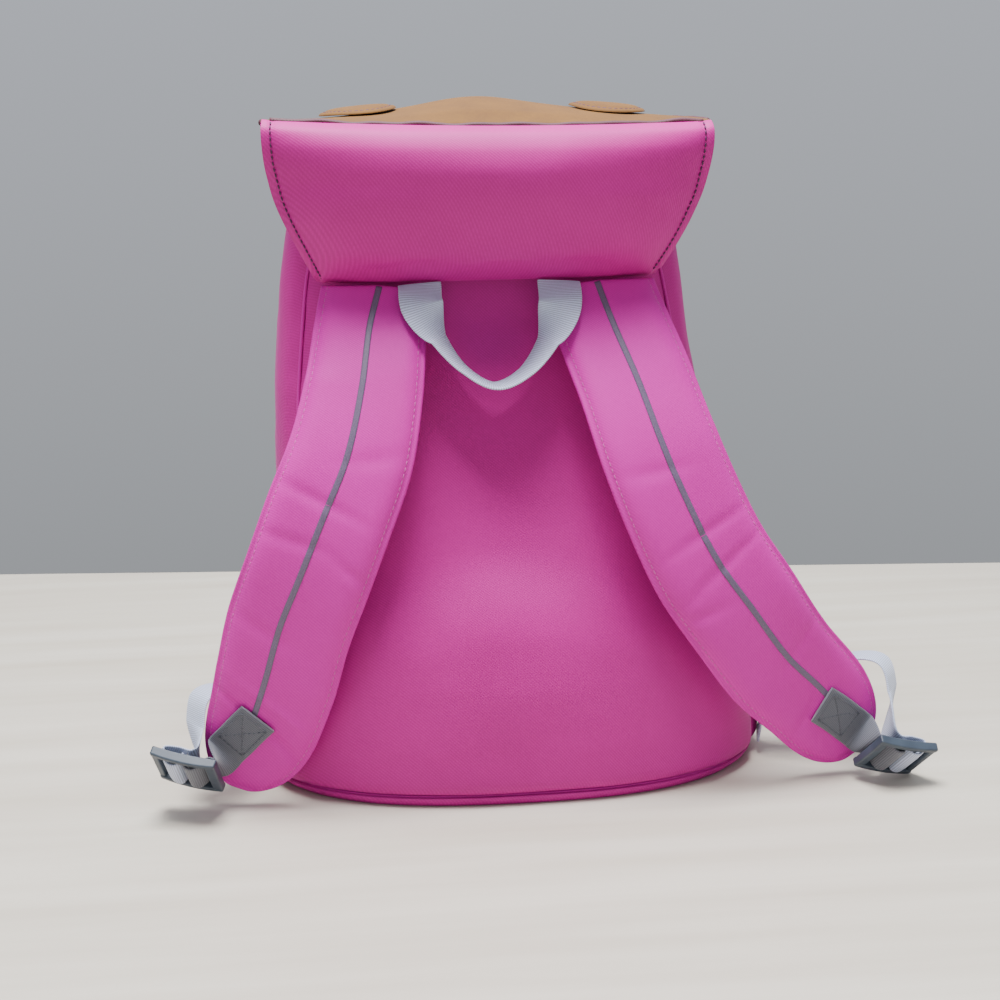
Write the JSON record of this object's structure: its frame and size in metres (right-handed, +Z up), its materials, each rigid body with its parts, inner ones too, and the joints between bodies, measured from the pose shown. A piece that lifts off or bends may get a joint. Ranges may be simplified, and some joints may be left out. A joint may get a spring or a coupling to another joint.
{
  "type": "kids animal backpack",
  "caption": "Small child's backpack with an animal-face lid, padded shoulder straps with ladder buckles, and a webbing carrying handle.",
  "frame": {"origin": "on the ground under the middle of the body, on the flat bottom of the base", "axes": "+Z up; -Y is the side with the shoulder straps, which lies against the wearer's back; +Y is the side of the lid's flap with the animal face; +X is to the right as seen from the strap side"},
  "size_m": [0.3786, 0.1768, 0.3333],
  "materials": {
    "pink_cloth": "matt twill-woven polyester",
    "ochre_cloth": "matt, slightly napped",
    "cream_pad": "matt, slightly napped",
    "dark_pad": "matt",
    "grey_webbing": "ribbed woven webbing",
    "dark_plastic": "satin",
    "line_tape": "satin tape"
  },
  "bodies": {
    "root": {"back_panel": "pink_cloth", "side_gusset_right": "pink_cloth", "front_panel": "pink_cloth", "side_gusset_left": "pink_cloth", "base_panel": "pink_cloth", "lid_back": "pink_cloth", "shoulder_strap_left": "pink_cloth", "shoulder_strap_right": "pink_cloth", "lid_face": "ochre_cloth", "ear_left": "ochre_cloth", "ear_right": "ochre_cloth", "muzzle": "cream_pad", "nose": "dark_pad", "eye_left": "dark_pad", "eye_right": "dark_pad", "strap_webbing_left": "grey_webbing", "strap_webbing_right": "grey_webbing", "lower_webbing_left": "grey_webbing", "lower_webbing_right": "grey_webbing", "carry_handle": "grey_webbing", "lid_clasp": "dark_plastic", "buckle_left": "dark_plastic", "buckle_right": "dark_plastic", "reflective_line_left": "line_tape", "reflective_line_right": "line_tape"}
  },
  "joints": []
}
